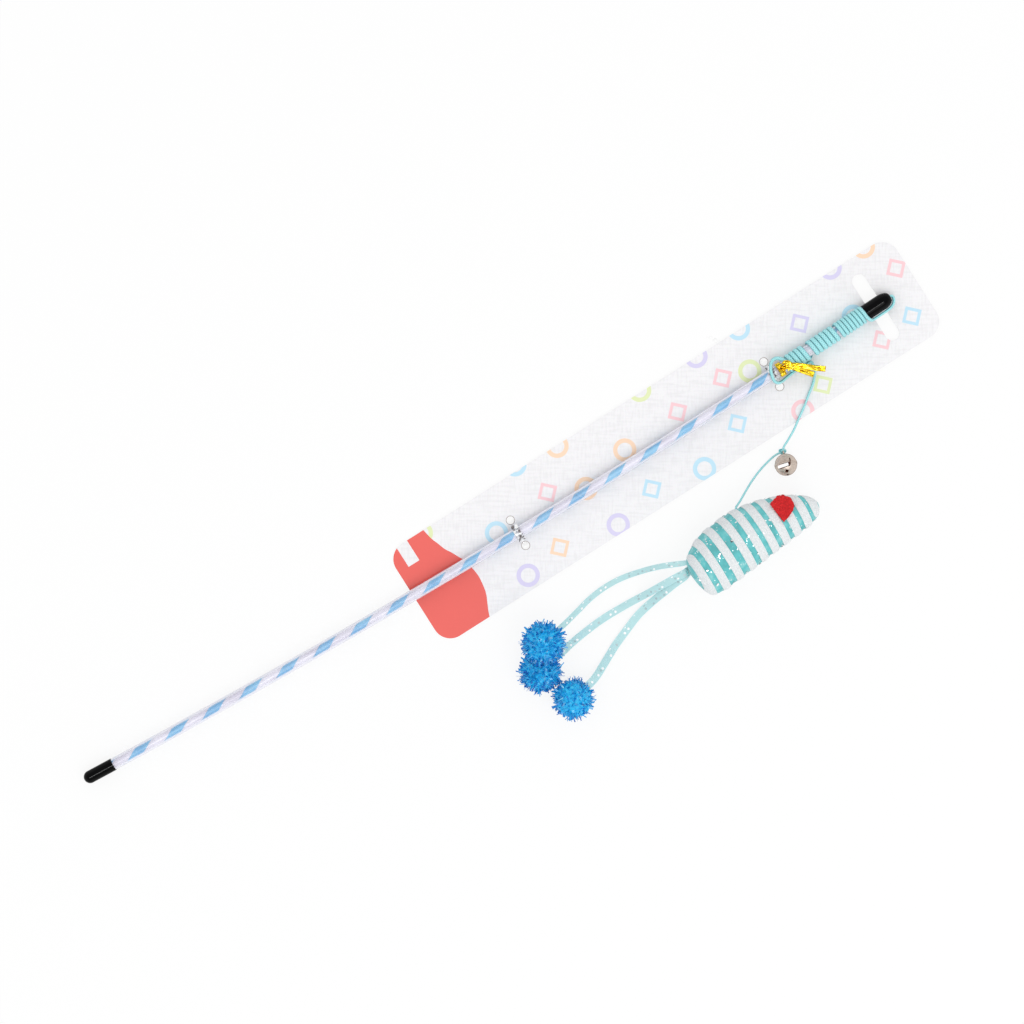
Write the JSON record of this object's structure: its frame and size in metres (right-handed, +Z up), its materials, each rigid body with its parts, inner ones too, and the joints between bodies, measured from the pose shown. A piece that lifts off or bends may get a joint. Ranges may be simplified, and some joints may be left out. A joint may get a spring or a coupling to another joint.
{
  "type": "cat teaser wand",
  "caption": "Rod-type cat teaser tied to its hanging card, with a bell and a striped toy mouse with tinsel-ended ribbon tails on an elastic cord.",
  "frame": {"origin": "on the floor, below the middle of the whole outline: the wand, its card and the toy lie flat as in the picture", "axes": "+X along the wand toward its tip, +Y across the card toward its upper edge, away from the toy, +Z up from the floor"},
  "size_m": [0.428, 0.1153, 0.0264],
  "materials": {
    "clear_sleeve": "clear, glossy",
    "pale_core": "pearly lilac white",
    "blue_stripe": "metallic sky blue",
    "black_cap": "glossy black",
    "teal_cord": "elastic cord, teal",
    "gold_foil": "metallised gold film",
    "clear_tie": "clear film over wire",
    "card_board": "off-white board, printed",
    "bell_metal": "nickel plated",
    "pea_steel": "plain steel",
    "toy_filling": "fibre filling",
    "glitter_teal": "glitter fabric, teal",
    "white_terry": "white terry",
    "red_felt": "red felt",
    "teal_ribbon": "sheer teal ribbon with pale dots",
    "blue_tinsel": "metallic tinsel, blue"
  },
  "bodies": {
    "wand": {"rod_sleeve": "clear_sleeve", "rod_core": "pale_core", "rod_stripe": "blue_stripe", "butt_cap": "black_cap", "tip_cap": "black_cap", "anchor_knot": "teal_cord", "cord_winding": "teal_cord", "gold_tie": "gold_foil", "lower_tie": "clear_tie", "upper_tie": "clear_tie", "hang_card": "card_board"},
    "upper_line": {"upper_cord": "teal_cord", "cord_knot": "teal_cord"},
    "lower_line": {"lower_cord": "teal_cord"},
    "bell": {"bell_crown": "bell_metal", "bell_base": "bell_metal", "bell_eye": "bell_metal"},
    "pea": {"bell_pea": "pea_steel"},
    "mouse": {"mouse_stuffing": "toy_filling", "mouse_skin": "glitter_teal", "mouse_wrap": "white_terry", "tail_patch": "glitter_teal"},
    "upper_ear": {"ear_upper": "red_felt"},
    "lower_ear": {"ear_lower": "red_felt"},
    "middle_tail": {"tail_ribbon_2": "teal_ribbon", "pompom_2": "blue_tinsel"},
    "upper_tail": {"tail_ribbon_1": "teal_ribbon", "pompom_1": "blue_tinsel"},
    "lower_tail": {"tail_ribbon_3": "teal_ribbon", "pompom_3": "blue_tinsel"}
  },
  "joints": [
    {"name": "cord_swing", "type": "hinge", "parent": "wand", "child": "upper_line", "pos_m": [0.15502, 0.02374, 0.002], "axis": [0, 0, 1], "range_deg": [0, 60]},
    {"name": "toy_swing", "type": "hinge", "parent": "upper_line", "child": "lower_line", "pos_m": [0.12482, -0.00246, 0.0015], "axis": [0, 0, 1], "range_deg": [0, 40]},
    {"name": "bell_swing", "type": "hinge", "parent": "lower_line", "child": "bell", "pos_m": [0.12482, -0.00246, 0.0015], "axis": [0, 0, 1], "range_deg": [-8, 30]},
    {"name": "pea_rattle", "type": "slide", "parent": "bell", "child": "pea", "axis": [1, 0, 0], "range_m": [-0.001, 0.001]},
    {"name": "mouse_turn", "type": "hinge", "parent": "lower_line", "child": "mouse", "pos_m": [0.09282, -0.01406, 0.012], "axis": [0, 0, 1], "range_deg": [-8, 8]},
    {"name": "upper_ear_flap", "type": "hinge", "parent": "mouse", "child": "upper_ear", "pos_m": [0.10829, -0.03037, 0.02382], "axis": [0.1351, -0.9814, 0.1366], "range_deg": [0, 40]},
    {"name": "lower_ear_flap", "type": "hinge", "parent": "mouse", "child": "lower_ear", "pos_m": [0.10829, -0.03037, 0.00118], "axis": [-0.1351, 0.9814, 0.1366], "range_deg": [0, 14]},
    {"name": "tail_swing", "type": "hinge", "parent": "mouse", "child": "middle_tail", "pos_m": [0.05942, -0.02696, 0.0125], "axis": [0, 0, 1], "range_deg": [-5, 15]},
    {"name": "upper_tail_fan", "type": "hinge", "parent": "middle_tail", "child": "upper_tail", "pos_m": [0.05942, -0.02696, 0.0125], "axis": [0, 0, 1], "range_deg": [-10, 0]},
    {"name": "lower_tail_fan", "type": "hinge", "parent": "middle_tail", "child": "lower_tail", "pos_m": [0.05942, -0.02696, 0.0125], "axis": [0, 0, 1], "range_deg": [0, 14]}
  ]
}
